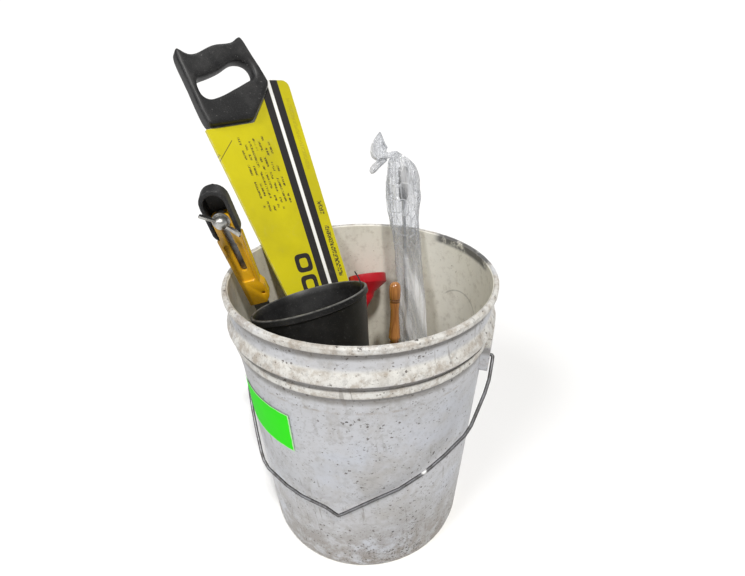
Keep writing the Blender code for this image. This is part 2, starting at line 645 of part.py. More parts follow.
def build_file():
    wood = material("file_handle", (0.50, 0.24, 0.08), 0.3)
    brass = material("file_ferrule", (0.60, 0.45, 0.20), 0.3, 1.0)
    steel = material("file_blade", (0.30, 0.31, 0.33), 0.4, 1.0)
    toe, top = Vector(FILE_TOE), Vector(FILE_TOP)
    length = (top - toe).length
    axis = frame("file_axis", toe, (1, 0, 0), top - toe)
    h = length - FILE_HANDLE_L
    bore = 2.6 + GAP
    dome = [(0, length), (3.2, length - 0.6), (5.8, length - 2.6), (7.2, length - 6.0),
            (7.6, length - 12.0)]
    grooves = [(7.3, length - 22.0), (6.5, length - 23.4), (7.1, length - 24.8),
               (6.4, length - 26.4), (6.8, length - 28.2)]
    waist = [(5.7, length - 38.0), (6.3, length - 54.0), (7.3, length - 66.0), (7.7, length - 74.0)]
    bead = [(8.1, length - 76.0), (8.1, length - 78.4), (6.9, length - 80.4), (5.6, h + 13.7),
            (5.0, h + 13.3), (5.0, h)]
    turned("file_handle", dome + grooves + waist + bead + [(bore, h), (bore, h + 60.0), (0, h + 60.0)],
           24, wood, axis)
    turned("file_ferrule", [(6.4, h + 13.0), (6.4, h + 1.0), (5.8, h - 0.6), (5.3, h - 0.6),
                            (5.3, h + 13.0)], 24, brass, axis, closed=True)
    w = 6.5
    loop = [(-1.7, h + 56.0), (-2.1, h - 2.0), (-w, h - 14.0), (-w, h - 60.0), (-w + 2.6, 0.0),
            (w - 2.6, 0.0), (w, h - 60.0), (w, h - 14.0), (2.1, h - 2.0), (1.7, h + 56.0)]
    blade = plate("file_blade", [loop], -1.6, 1.6, steel, axis)
    return blade


clear_scene()
PARTS = collection("tool_bucket_organizer")
TOOLS = collection("cutters")
build_pail()
build_label()
build_bail()
build_saw()
build_jab_saw()
build_pot()
build_funnel()
build_rod()
build_file()
TOOLS.hide_render = True
bpy.context.view_layer.update()
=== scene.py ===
"""Looks for the tool bucket organizer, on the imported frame. Metres, +Z up, -Y to the front."""

import math

import bmesh
import bpy
from mathutils import Matrix, Vector, noise


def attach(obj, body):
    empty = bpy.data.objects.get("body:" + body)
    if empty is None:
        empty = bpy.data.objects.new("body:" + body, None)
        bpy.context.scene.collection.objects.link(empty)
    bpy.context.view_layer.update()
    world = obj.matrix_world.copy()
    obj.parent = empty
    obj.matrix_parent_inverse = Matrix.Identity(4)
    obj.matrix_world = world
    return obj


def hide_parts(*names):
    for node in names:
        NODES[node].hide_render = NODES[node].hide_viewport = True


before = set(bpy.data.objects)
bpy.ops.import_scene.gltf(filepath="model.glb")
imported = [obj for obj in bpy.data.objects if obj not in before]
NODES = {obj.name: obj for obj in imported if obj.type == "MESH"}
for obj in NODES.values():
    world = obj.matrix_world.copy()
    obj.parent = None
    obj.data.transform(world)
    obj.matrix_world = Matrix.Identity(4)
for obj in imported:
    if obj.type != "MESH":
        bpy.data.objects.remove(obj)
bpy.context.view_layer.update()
MM = 0.001
WELD = 0.000004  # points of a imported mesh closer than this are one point
RIGHT = Vector((1, 0, 0))

# Points and directions of the tools, the same as in the CAD
SAW_ORIGIN = Vector((-91.3, 232.7, 537.2)) * MM
SAW_TURN = (Matrix.Rotation(math.radians(38.0), 3, "Z")
            @ Matrix.Rotation(math.radians(-32.6), 3, "X")
            @ Matrix.Rotation(math.radians(4.8), 3, "Y"))
SAW_X, SAW_UP = Vector(SAW_TURN.col[0]), Vector(SAW_TURN.col[2])
POT_TOP = Vector((-57.6, -25.4, 347.5)) * MM
POT_UP = Vector((-0.231, 0.265, 0.936)).normalized()
ROD_TOE = Vector((66.0, -26.0, 8.0)) * MM
ROD_UP = Vector((-0.018, 0.354, 0.935)).normalized()
FILE_TOP = Vector((43.8, 62.5, 321.0)) * MM
FILE_UP = Vector((2.8, 52.5, 314.0)).normalized()
JAB_UP = Vector((-0.1848, -0.1626, 0.9692)).normalized()
JAB_FACE = Vector((0.10, -1.0, 0.0))
JAB_RIGHT = (JAB_UP * JAB_FACE.dot(JAB_UP) - JAB_FACE).cross(JAB_UP).normalized()
JAB_MID = Vector((-59.2, 62.6, 4.0)) * MM + (JAB_UP * 439.6 + JAB_RIGHT * 2.5) * MM


# ---- shading helpers ----------------------------------------------------------------------------

class Val:
    """A number socket in a material, which takes arithmetic."""

    def __init__(self, look, socket):
        self.look, self.socket = look, socket

    def _op(self, kind, other=None, swap=False):
        node = self.look.new("ShaderNodeMath", operation=kind)
        pair = [self, other] if not swap else [other, self]
        for slot, v in zip(node.inputs, pair):
            if v is not None:
                self.look.feed(slot, v)
        return Val(self.look, node.outputs[0])

    def __add__(self, o):
        return self._op("ADD", o)

    def __radd__(self, o):
        return self._op("ADD", o)

    def __sub__(self, o):
        return self._op("SUBTRACT", o)

    def __rsub__(self, o):
        return self._op("SUBTRACT", o, True)

    def __mul__(self, o):
        return self._op("MULTIPLY", o)

    def __truediv__(self, o):
        return self._op("DIVIDE", o)

    def __gt__(self, o):
        return self._op("GREATER_THAN", o)

    def __lt__(self, o):
        return self._op("LESS_THAN", o)

    def abs(self):
        return self._op("ABSOLUTE")

    def fract(self):
        return self._op("FRACT")

    def floor(self):
        return self._op("FLOOR")

    def power(self, o):
        return self._op("POWER", o)

    def min(self, o):
        return self._op("MINIMUM", o)

    def atan2(self, o):
        return self._op("ARCTAN2", o)

    def step(self, a, b):
        """0 at a, 1 at b, smooth between."""
        node = self.look.new("ShaderNodeMapRange", interpolation_type="SMOOTHSTEP")
        self.look.feed(node.inputs["Value"], self)
        self.look.feed(node.inputs["From Min"], a)
        self.look.feed(node.inputs["From Max"], b)
        return Val(self.look, node.outputs[0])

    def band(self, lo, hi, soft=0.0003):
        """1 between lo and hi, 0 outside, each end fading over soft."""
        return self.step(lo - soft, lo + soft) * (1.0 - self.step(hi - soft, hi + soft))

    def bands(self, rows):
        """The sum of one band for each (lo, hi, soft)."""
        total = self.band(*rows[0])
        for row in rows[1:]:
            total = total + self.band(*row)
        return total


class Look:
    """A node material built from one Principled shader."""

    def __init__(self, name, rough=0.5, metal=0.0):
        self.mat = bpy.data.materials.new(name)
        self.mat.use_nodes = True
        self.tree = self.mat.node_tree
        self.bsdf = self.tree.nodes["Principled BSDF"]
        self.bsdf.inputs["Roughness"].default_value = rough
        self.bsdf.inputs["Metallic"].default_value = metal
        self.at = self.new("ShaderNodeTexCoord").outputs["Object"]

    def new(self, kind, **props):
        node = self.tree.nodes.new(kind)
        for k, v in props.items():
            setattr(node, k, v)
        return node

    def feed(self, slot, value):
        if isinstance(value, Val):
            self.tree.links.new(value.socket, slot)
        elif isinstance(value, bpy.types.NodeSocket):
            self.tree.links.new(value, slot)
        elif isinstance(value, tuple) and len(value) == 3 and slot.type == "RGBA":
            slot.default_value = (*value, 1.0)
        else:
            slot.default_value = value

    def set(self, name, value):
        self.feed(self.bsdf.inputs[name], value)

    def parts(self):
        """The shaded point's x, y and z."""
        node = self.new("ShaderNodeSeparateXYZ")
        self.feed(node.inputs[0], self.at)
        return [Val(self, s) for s in node.outputs]

    def vector(self, x, y, z):
        node = self.new("ShaderNodeCombineXYZ")
        for slot, v in zip(node.inputs, (x, y, z)):
            self.feed(slot, v)
        return node.outputs[0]

    def along(self, origin, axis):
        """Distance of the shaded point from origin along axis."""
        node = self.new("ShaderNodeVectorMath", operation="DOT_PRODUCT")
        self.feed(node.inputs[0], self.at)
        node.inputs[1].default_value = tuple(axis)
        return Val(self, node.outputs["Value"]) - float(Vector(origin).dot(Vector(axis)))

    def near(self, point, reach):
        """1 at a point, falling to 0 at reach."""
        node = self.new("ShaderNodeVectorMath", operation="DISTANCE")
        self.feed(node.inputs[0], self.at)
        node.inputs[1].default_value = tuple(point)
        return Val(self, node.outputs["Value"]).step(reach, reach * 0.4)

    def noise(self, scale, detail=2.0, rough=0.5, vector=None, distort=0.0):
        node = self.new("ShaderNodeTexNoise")
        self.feed(node.inputs["Vector"], vector or self.at)
        node.inputs["Scale"].default_value = scale
        node.inputs["Detail"].default_value = detail
        node.inputs["Roughness"].default_value = rough
        node.inputs["Distortion"].default_value = distort
        return Val(self, node.outputs[0])

    def cracks(self, scale, vector):
        """Distance from the nearest border between cells."""
        node = self.new("ShaderNodeTexVoronoi", feature="DISTANCE_TO_EDGE")
        self.feed(node.inputs["Vector"], vector)
        node.inputs["Scale"].default_value = scale
        return Val(self, node.outputs["Distance"])

    def flecks(self, scale, size, share, vector):
        """Scattered spots: one per cell in the given share of cells, of mixed sizes up to size."""
        node = self.new("ShaderNodeTexVoronoi")
        self.feed(node.inputs["Vector"], vector)
        node.inputs["Scale"].default_value = scale
        tint = self.new("ShaderNodeSeparateColor")
        self.feed(tint.inputs[0], node.outputs["Color"])
        pick, big = Val(self, tint.outputs[0]), Val(self, tint.outputs[1])
        reach = (big * 0.75 + 0.25) * size
        return (1.0 - (Val(self, node.outputs["Distance"]) / reach).step(0.7, 1.0)) * (pick < share)

    def ragged(self, scale, amount):
        """Object coordinates pushed about by noise, for broken outlines."""
        node = self.new("ShaderNodeTexNoise")
        self.feed(node.inputs["Vector"], self.at)
        node.inputs["Scale"].default_value = scale
        node.inputs["Detail"].default_value = 3.0
        add = self.new("ShaderNodeVectorMath", operation="MULTIPLY_ADD")
        self.tree.links.new(node.outputs["Color"], add.inputs[0])
        add.inputs[1].default_value = (amount,) * 3
        self.feed(add.inputs[2], self.at)
        return add.outputs[0]

    def crevice(self, reach):
        """1 deep in a corner, 0 in the open."""
        node = self.new("ShaderNodeAmbientOcclusion", samples=6)
        node.inputs["Distance"].default_value = reach
        return 1.0 - Val(self, node.outputs["AO"])

    def mix(self, fac, a, b):
        """Colour a at fac 0, colour b at fac 1."""
        node = self.new("ShaderNodeMix", data_type="RGBA")
        self.feed(node.inputs[0], fac)
        self.feed(node.inputs[6], a)  # sockets 6 and 7 and output 2 are the colour ones
        self.feed(node.inputs[7], b)
        return node.outputs[2]

    def bump(self, height, distance, strength):
        node = self.new("ShaderNodeBump")
        node.inputs["Strength"].default_value = strength
        node.inputs["Distance"].default_value = distance
        self.feed(node.inputs["Height"], height)
        return node.outputs[0]

    def edges(self, radius, low=0.02, high=0.25):
        """1 where the surface turns a corner within radius, which is where wear shows."""
        soft = self.new("ShaderNodeBevel", samples=4)
        soft.inputs["Radius"].default_value = radius
        flat = self.new("ShaderNodeNewGeometry")
        dot = self.new("ShaderNodeVectorMath", operation="DOT_PRODUCT")
        self.feed(dot.inputs[0], soft.outputs[0])
        self.feed(dot.inputs[1], flat.outputs["Normal"])
        return (1.0 - Val(self, dot.outputs["Value"])).step(low, high)


def mesh_group(name):
    """A new geometry-node group, its nodes and links, and its input and output nodes."""
    tree = bpy.data.node_groups.new(name, "GeometryNodeTree")
    for way in ("INPUT", "OUTPUT"):
        tree.interface.new_socket("Geometry", in_out=way, socket_type="NodeSocketGeometry")
    nodes = tree.nodes
    return tree, nodes, tree.links, nodes.new("NodeGroupInput"), nodes.new("NodeGroupOutput")


def smoothed(ob, angle):
    """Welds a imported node's facets and shades it smooth across edges flatter than angle."""
    name = f"smooth_{round(angle)}"
    tree = bpy.data.node_groups.get(name)
    if tree is None:
        tree, nodes, links, start, end = mesh_group(name)
        weld = nodes.new("GeometryNodeMergeByDistance")
        weld.inputs["Distance"].default_value = WELD
        faces = nodes.new("GeometryNodeSetShadeSmooth")
        faces.domain = "FACE"
        faces.inputs["Shade Smooth"].default_value = True
        turn = nodes.new("GeometryNodeInputMeshEdgeAngle")
        flat = nodes.new("FunctionNodeCompare")
        flat.data_type, flat.operation = "FLOAT", "LESS_EQUAL"
        flat.inputs[1].default_value = math.radians(angle)
        edges = nodes.new("GeometryNodeSetShadeSmooth")
        edges.domain = "EDGE"
        links.new(start.outputs[0], weld.inputs[0])
        links.new(weld.outputs[0], faces.inputs[0])
        links.new(faces.outputs[0], edges.inputs[0])
        links.new(turn.outputs[0], flat.inputs[0])
        links.new(flat.outputs[0], edges.inputs["Shade Smooth"])
        links.new(edges.outputs[0], end.inputs[0])
    old = ob.data.attributes.get("custom_normal")
    if old is not None:
        ob.data.attributes.remove(old)
    mod = ob.modifiers.new("smooth", "NODES")
    mod.node_group = tree


def blurred(ob, steps, bands, least):
    """Rounds a mesh by blurring its positions.

    Each (origin, axis, lo, hi) band ramps the blur from none at lo to full at hi along its axis.
    The bands multiply, and least is the share of the blur that is left everywhere.
    """
    tree, nodes, links, start, end = mesh_group("blurred")
    at = nodes.new("GeometryNodeInputPosition")
    weight = None
    for origin, axis, lo, hi in bands:
        dot = nodes.new("ShaderNodeVectorMath")
        dot.operation = "DOT_PRODUCT"
        links.new(at.outputs[0], dot.inputs[0])
        dot.inputs[1].default_value = tuple(axis)
        ramp = nodes.new("ShaderNodeMapRange")
        links.new(dot.outputs["Value"], ramp.inputs["Value"])
        shift = Vector(origin).dot(Vector(axis))
        ramp.inputs["From Min"].default_value = lo + shift
        ramp.inputs["From Max"].default_value = hi + shift
        if weight is None:
            weight = ramp.outputs[0]
        else:
            both = nodes.new("ShaderNodeMath")
            both.operation = "MULTIPLY"
            links.new(weight, both.inputs[0])
            links.new(ramp.outputs[0], both.inputs[1])
            weight = both.outputs[0]
    floor = nodes.new("ShaderNodeMath")
    floor.operation = "MAXIMUM"
    floor.inputs[1].default_value = least
    links.new(weight, floor.inputs[0])
    blur = nodes.new("GeometryNodeBlurAttribute")
    blur.data_type = "FLOAT_VECTOR"
    value = next(s for s in blur.inputs if s.enabled and s.name == "Value")
    out = next(s for s in blur.outputs if s.enabled)
    links.new(at.outputs[0], value)
    blur.inputs["Iterations"].default_value = steps
    links.new(floor.outputs[0], blur.inputs["Weight"])
    put = nodes.new("GeometryNodeSetPosition")
    links.new(start.outputs[0], put.inputs["Geometry"])
    links.new(out, put.inputs["Position"])
    links.new(put.outputs[0], end.inputs[0])
    ob.modifiers.new("blurred", "NODES").node_group = tree


def dress(node, mat, angle=32.0, melt=0.0, bevel=0.0, bands=()):
    """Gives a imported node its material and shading.

    melt is the voxel size that a moulding is rounded at, and with bands the rounding is mostly
    kept to them. bevel is the width that sharp edges are broken by.
    """
    ob = NODES[node]
    ob.data.materials.clear()
    ob.data.materials.append(mat)
    if melt or bevel:
        ob.modifiers.new("weld", "WELD").merge_threshold = WELD
    if melt:
        skin = ob.modifiers.new("skin", "REMESH")
        skin.mode = "VOXEL"
        skin.voxel_size = melt
        if bands:
            blurred(ob, 90, bands, 0.10)
        else:
            soft = ob.modifiers.new("soft", "SMOOTH")
            soft.factor, soft.iterations = 0.5, 14
    if bevel:
        flat = ob.modifiers.new("flat", "DECIMATE")
        flat.decimate_type, flat.angle_limit = "DISSOLVE", math.radians(0.6)
        cut = ob.modifiers.new("break", "BEVEL")
        cut.width, cut.segments, cut.angle_limit = bevel, 2, math.radians(34.0)
        cut.use_clamp_overlap = False
    smoothed(ob, angle)


# ---- materials ----------------------------------------------------------------------------------

# Heights on the pail, m: from, to and how softly each end fades
FLANGE_HIGHLIGHTS = ((0.3255, 0.3400, 0.0030), (0.3075, 0.3172, 0.0012))
LEDGES = ((0.322, 0.338, 0.002), (0.3075, 0.3175, 0.001))
THIN_LEDGES = ((0.2850, 0.2885, 0.0006), (0.3175, 0.3215, 0.0008))
UNDERCUT_SHADOWS = ((0.3520, 0.3608, 0.0030), (0.3165, 0.3252, 0.0014), (0.2985, 0.3082, 0.0036))
# Ramps up the rim's bead, m, for dirt, painted highlight and dark paint
BEAD_DIRT, BEAD_HIGHLIGHT, BEAD_PAINT = (0.352, 0.362), (0.3580, 0.3610), (0.3560, 0.3610)
WALL_RADIUS = 0.14              # turns an angle round the wall into metres along it
WALL_TAPER = 0.0403             # radius gained per metre of height
WALL_MIDDLE = (0.1300, 0.1312)  # radii at the foot between the inside's look and the outside's


def pail_look():
    k = Look("pail_hdpe", 0.42)
    x, y, z = k.parts()
    r = (x * x + y * y).power(0.5)
    turn = y.atan2(x)
    around = turn * WALL_RADIUS
    wrap = k.vector(around, z, r)
    inside = 1.0 - (r - z * WALL_TAPER).step(*WALL_MIDDLE)
    broad = k.noise(5.0, 3.0, 0.55)
    colour = k.mix(broad.step(0.35, 0.7), (0.53, 0.535, 0.56), (0.38, 0.38, 0.385))
    # painted highlight: the upward faces of the flanges and the top of the bead made paler and
    # warmer
    painted_highlight = z.bands(FLANGE_HIGHLIGHTS) + z.step(*BEAD_HIGHLIGHT)
    colour = k.mix(painted_highlight.min(1.0) * 0.85, colour, (0.66, 0.645, 0.60))
    # rubbed-in grime, in patches and in drawn-out smears round the wall
    smear = k.noise(26.0, 8.0, 0.70, k.vector(around, z * 0.55, r), 0.6)
    colour = k.mix(smear.step(0.46, 0.70) * 0.50, colour, (0.34, 0.31, 0.27))
    mottle = k.noise(120.0, 9.0, 0.78, wrap)
    colour = k.mix(mottle.step(0.48, 0.62) * 0.42, colour, (0.27, 0.26, 0.25))
    cool = k.noise(12.0, 5.0, 0.6, k.vector(around, z * 1.3, 0.7))
    colour = k.mix(cool.step(0.5, 0.72) * 0.5, colour, (0.52, 0.55, 0.62))
    # dirt settles on ledges, at the foot and along the rim
    low = 1.0 - z.step(0.0, 0.15)
    dirt = k.noise(48.0, 9.0, 0.72)
    colour = k.mix(low * dirt.step(0.40, 0.58) * 0.78, colour, (0.19, 0.155, 0.12))
    ledge = z.bands(LEDGES) + z.step(*BEAD_DIRT)
    for row in THIN_LEDGES:
        ledge = ledge + z.band(*row) * 0.8
    grit = k.noise(70.0, 9.0, 0.75)
    colour = k.mix(ledge * grit.step(0.44, 0.62) * 0.62, colour, (0.26, 0.20, 0.14))
    # painted shadow in bands under the bead and the flanges, broken up by grit noise, with a little
    # painted shade in crevices
    shade = k.crevice(0.014).step(0.30, 0.80)
    painted_shadow = z.bands(UNDERCUT_SHADOWS) * (0.50 + grit * 0.35) + shade * 0.12
    colour = k.mix(painted_shadow, colour, (0.145, 0.13, 0.11))
    # paint and tar specks: thick low on the right, thin elsewhere
    where = k.noise(14.0, 5.0, 0.65, k.vector(around, z, 0.3)).step(0.38, 0.60)
    right = x.step(-0.06, 0.035)
    foot = 1.0 - z.step(0.030, 0.105)
    cluster = k.noise(34.0, 5.0, 0.65, k.vector(around, z, 1.1)).step(0.40, 0.56)
    share = where * (0.09 + low * (0.30 + right * 0.34) + right * 0.10)
    share = share + foot * (0.10 + right * 0.75) * cluster
    broken = k.ragged(620.0, 0.0042)
    pepper = k.flecks(430.0, 0.60, share * 0.9 + 0.10, broken)
    colour = k.mix(pepper * 0.6, colour, (0.12, 0.105, 0.09))
    fine = k.flecks(250.0, 0.50, share * 0.70 + 0.03, broken)
    colour = k.mix(fine * 0.85, colour, (0.075, 0.06, 0.05))
    blots = k.flecks(125.0, 0.31, share * 0.48 + 0.010, broken)
    colour = k.mix(blots * 0.95, colour, (0.035, 0.03, 0.028))
    # hairline scratches, upright and slanting
    hair = k.noise(210.0, 2.0, 0.5, k.vector(around + z * 0.12, z * 0.05, 0.0), 0.3)
    hairs = hair.step(0.64, 0.68) * k.noise(14.0, 3.0).step(0.45, 0.6)
    colour = k.mix(hairs * 0.55, colour, (0.20, 0.18, 0.16))
    # warm, drier inside wall with soft upright staining
    stain = k.noise(20.0, 4.0, 0.6, k.vector(around, z * 0.22, 2.0))
    inner = k.mix(stain.step(0.40, 0.68), (0.77, 0.745, 0.655), (0.62, 0.59, 0.50))
    # painted light: the right side of the inside wall is made paler and warmer, as if lit
    inner = k.mix(x.step(0.02, 0.12) * 0.6, inner, (0.90, 0.875, 0.79))
    inner = k.mix(k.noise(90.0, 8.0, 0.7, wrap).step(0.48, 0.70) * 0.45, inner, (0.42, 0.38, 0.31))
    # a scraped arc on the right of the inside wall
    ring = k.near((0.118, 0.048, 0.262), 0.060)
    cut = ring.band(0.30, 0.36, 0.02) * (x > 0.0) * z.step(0.288, 0.294)
    cut = cut * k.noise(60.0, 2.0).step(0.3, 0.5)
    spots = k.flecks(240.0, 0.26, k.noise(18.0, 4.0).step(0.35, 0.65) * 0.34, broken)
    inner = k.mix(spots * 0.65, inner, (0.22, 0.17, 0.12))
    inner = k.mix(cut * 0.4, inner, (0.15, 0.14, 0.13))
    colour = k.mix(inside, colour, inner)
    # an old smear of dark paint on the far right of the rim
    arc = turn.band(0.08, 0.80, 0.05) * z.step(*BEAD_PAINT)
    worn = k.noise(60.0, 8.0, 0.75, wrap).step(0.34, 0.50)
    colour = k.mix(arc * worn * 0.88, colour, (0.07, 0.07, 0.072))
    # one tar tick on the front left
    colour = k.mix(k.near((-0.0742, -0.1156, 0.196), 0.0030), colour, (0.02, 0.02, 0.02))
    k.set("Base Color", colour)
    k.set("Roughness", 0.34 + smear * 0.25 + dirt * 0.12)
    k.set("Subsurface Weight", 0.04)
    k.set("Subsurface Radius", (0.01, 0.009, 0.008))
    height = smear * 0.5 + dirt * 0.2 + hairs * -0.6
    k.set("Normal", k.bump(height, 0.0007, 0.55))
    return k.mat


LABEL_FOOT, LABEL_TOP = 0.2122, 0.2662      # heights, m
LABEL_TURN, LABEL_RADIUS = -2.146, 0.141    # its near upright edge, radians round the pail and m


def label_look():
    k = Look("label_green", 0.62)
    x, y, z = k.parts()
    turn = y.atan2(x)
    green = k.mix(k.noise(30.0, 4.0), (0.020, 0.66, 0.002), (0.030, 0.74, 0.004))
    frayed = k.noise(160.0, 3.0) * 0.0022
    left_side_shade = (turn - LABEL_TURN).abs() * LABEL_RADIUS
    rim = (z - LABEL_FOOT + frayed).min(LABEL_TOP - z + frayed).min(left_side_shade + frayed)
    edge = 1.0 - rim.step(0.0016, 0.0030)
    colour = k.mix(edge * 0.8, green, (0.55, 0.72, 0.48))
    scuff = k.noise(200.0, 6.0, 0.7).step(0.66, 0.74)
    k.set("Base Color", k.mix(scuff * 0.4, colour, (0.45, 0.6, 0.35)))
    k.set("Specular IOR Level", 0.10)
    k.set("Normal", k.bump(k.noise(45.0, 4.0, 0.6), 0.0006, 0.5))
    return k.mat


def steel_look(name, colour, dark, rough=0.36, grain=(1.0, 1.0, 1.0), scale=60.0, bite=0.0002):
    """Bare or plated metal with tarnish, drawn or ground grain."""
    k = Look(name, rough, 1.0)
    x, y, z = k.parts()
    v = k.vector(x * grain[0], y * grain[1], z * grain[2])
    tarnish = k.noise(scale, 6.0, 0.65)
    fine = k.noise(scale * 9.0, 3.0, 0.6, v)
    c = k.mix(tarnish.step(0.38, 0.7), colour, dark)
    c = k.mix(fine.step(0.45, 0.75) * 0.35, c, dark)
    k.set("Base Color", c)
    k.set("Roughness", rough - 0.08 + tarnish * 0.3)
    k.set("Normal", k.bump(fine + tarnish, bite, 0.6))
    return k


def bail_look():
    k = steel_look("bail_wire", (0.17, 0.17, 0.178), (0.07, 0.066, 0.062), 0.34, scale=90.0)
    # rust freckles and a white spot
    rust = k.noise(180.0, 6.0, 0.7).step(0.62, 0.7)
    base = k.bsdf.inputs["Base Color"].links[0].from_socket
    c = k.mix(rust * 0.5, base, (0.16, 0.08, 0.045))
    white_spot = k.near((0.0627, -0.1305, 0.1873), 0.0050)
    k.set("Base Color", k.mix(white_spot, c, (0.85, 0.85, 0.83)))
    k.set("Metallic", 0.85 - white_spot * 0.85)
    return k.mat


def sleeve_look():
    """Coated yellow card: a striped back edge and generic printed marks with no lettering."""
    k = Look("saw_sleeve", 0.34)
    x = k.along(SAW_ORIGIN, SAW_X) / MM
    z = k.along(SAW_ORIGIN, SAW_UP) / MM

    # in mm: x across the sleeve from its back edge, z up from its top corner
    def mm(s, lo, hi, soft=0.35):
        return s.band(lo, hi, soft)

    broad = k.noise(8.0, 5.0, 0.6)
    yellow = k.mix(broad.step(0.4, 0.7), (0.60, 0.53, 0.004), (0.49, 0.43, 0.006))
    scuff = k.noise(40.0, 8.0, 0.72, None, 0.8)
    yellow = k.mix(scuff.step(0.56, 0.72) * 0.22, yellow, (0.50, 0.46, 0.10))
    stripe = mm(x, -42.0, -31.3) + mm(x, -26.7, -16.0)
    white = mm(x, -31.3, -26.7)
    c = k.mix(stripe, yellow, (0.022, 0.020, 0.020))
    c = k.mix(white, c, (0.84, 0.84, 0.82))

    # rows of small print, broken into word-like dashes, running up the sleeve
    lean = x + z * 0.07
    row = (lean + 101.0) / 6.3
    line = row.fract().band(0.26, 0.70, 0.06)
    word = k.noise(1.0, 0.0, 0.5, k.vector(z * 0.10, row.floor() * 7.3, 0.0)).step(0.44, 0.47)
    dash = k.noise(1.0, 1.0, 0.5, k.vector(z * 1.15, row.floor() * 3.1, x * 0.35)).step(0.44, 0.50)
    ragged = k.noise(1.0, 0.0, 0.5, k.vector(row.floor() * 5.7, 0.0, 0.0)) * 46.0
    block = mm(lean, -101.0, -57.0) * mm(z + ragged * 0.9, -142.0, -52.0, 1.0)
    c = k.mix(line * word * dash * block * 0.95, c, (0.07, 0.05, 0.015))

    # a corner flash: one slanting rule and a few ticks along it
    slant = (x + z * -0.94 + 30.5) / 1.37
    across = (z + x * 0.94 + 204.0) / 1.37
    c = k.mix(mm(slant, -0.45, 0.45, 0.2) * mm(across, -36.0, 24.0) * 0.9, c, (0.08, 0.06, 0.02))
    ticks = mm(slant, -5.2, -2.4, 0.2) * mm(across, -28.0, -2.0)
    ticks = ticks * (across * 0.55).fract().band(0.2, 0.7, 0.1)
    c = k.mix(ticks * 0.8, c, (0.10, 0.075, 0.02))

    # two bold rounded frames where the size was printed
    def frame_mark(z0):
        du, dv = (x + 57.5).abs(), (z - z0).abs()

        def oval(a, b):
            return 1.0 - ((du / a).power(4.0) + (dv / b).power(4.0)).step(0.92, 1.08)

        return oval(11.5, 12.2) - oval(5.6, 6.2)

    figures = frame_mark(-240.0) + frame_mark(-268.5)
    c = k.mix(figures.min(1.0), c, (0.025, 0.022, 0.02))

    # heavier marks between the stripes and the back edge
    pulse = k.noise(1.0, 1.0, 0.6, k.vector(z * 0.62, x * 0.28, 4.0)).step(0.45, 0.50)
    runs = mm(z, -182.0, -164.0) + mm(z, -268.0, -198.0) + mm(z, -312.0, -280.0)
    c = k.mix(mm(x, -11.6, -5.0, 0.3) * pulse * runs * 0.92, c, (0.04, 0.035, 0.02))
    faint = mm(x, -11.0, -5.5, 0.3) * mm(z, -120.0, -24.0) * pulse
    c = k.mix(faint * 0.35, c, (0.30, 0.24, 0.02))

    # rubbed edges and grey handling marks
    rub = k.edges(0.0018) * k.noise(120.0, 6.0, 0.7).step(0.35, 0.6)
    c = k.mix(rub * 0.75, c, (0.72, 0.69, 0.55))
    hand = k.noise(16.0, 8.0, 0.72).step(0.60, 0.78)
    c = k.mix(hand * 0.25, c, (0.30, 0.28, 0.16))
    k.set("Base Color", c)
    k.set("Roughness", 0.28 + scuff * 0.28)
    k.set("Specular IOR Level", 0.3)
    k.set("Coat Weight", 0.08)
    k.set("Coat Roughness", 0.22)
    k.set("Normal", k.bump(broad * 2.0 + scuff * 0.3, 0.0009, 0.5))
    return k.mat


def black_plastic(name, base, dust, rough, grain, worn=(0.20, 0.20, 0.20), edge=0.0016):
    """Dusty moulded plastic with a fine texture, rubbed paler along its edges."""
    k = Look(name, rough)
    cloud = k.noise(22.0, 7.0, 0.68)
    fine = k.noise(grain, 2.0, 0.5)
    c = k.mix(cloud.step(0.42, 0.75) * dust, (base, base, base * 1.04), (0.14, 0.135, 0.13))
    speck = k.noise(260.0, 5.0, 0.7).step(0.62, 0.70)
    c = k.mix(speck * dust * 2.0, c, (0.26, 0.25, 0.24))
    c = k.mix(fine.step(0.55, 0.75) * dust * 1.6, c, (0.11, 0.11, 0.115))
    rub = k.edges(edge) * k.noise(90.0, 5.0, 0.7).step(0.40, 0.62)
    c = k.mix(rub * 0.55, c, worn)
    k.set("Base Color", c)
    k.set("Roughness", rough - 0.08 + cloud * 0.3)
    k.set("Specular IOR Level", 0.36)
    k.set("Normal", k.bump(fine * 0.5 + cloud, 0.00035, 0.5))
    return k


def pot_look():
    k = black_plastic("plant_pot", 0.006, 0.12, 0.38, 700.0, (0.20, 0.19, 0.18), 0.0012)
    base = k.bsdf.inputs["Base Color"].links[0].from_socket
    height = k.along(POT_TOP, POT_UP)
    # painted highlight: a paler, broken line round the top of the lip
    lip_highlight = height.step(-0.0016, 0.0002) * k.noise(60.0, 6.0, 0.7).step(0.28, 0.6)
    c = k.mix(lip_highlight * 0.75, base, (0.22, 0.215, 0.20))
    dusty = (1.0 - height.step(-0.11, -0.02)) * k.noise(30.0, 6.0).step(0.4, 0.7)
    k.set("Base Color", k.mix(dusty * 0.25, c, (0.20, 0.17, 0.13)))
    return k.mat


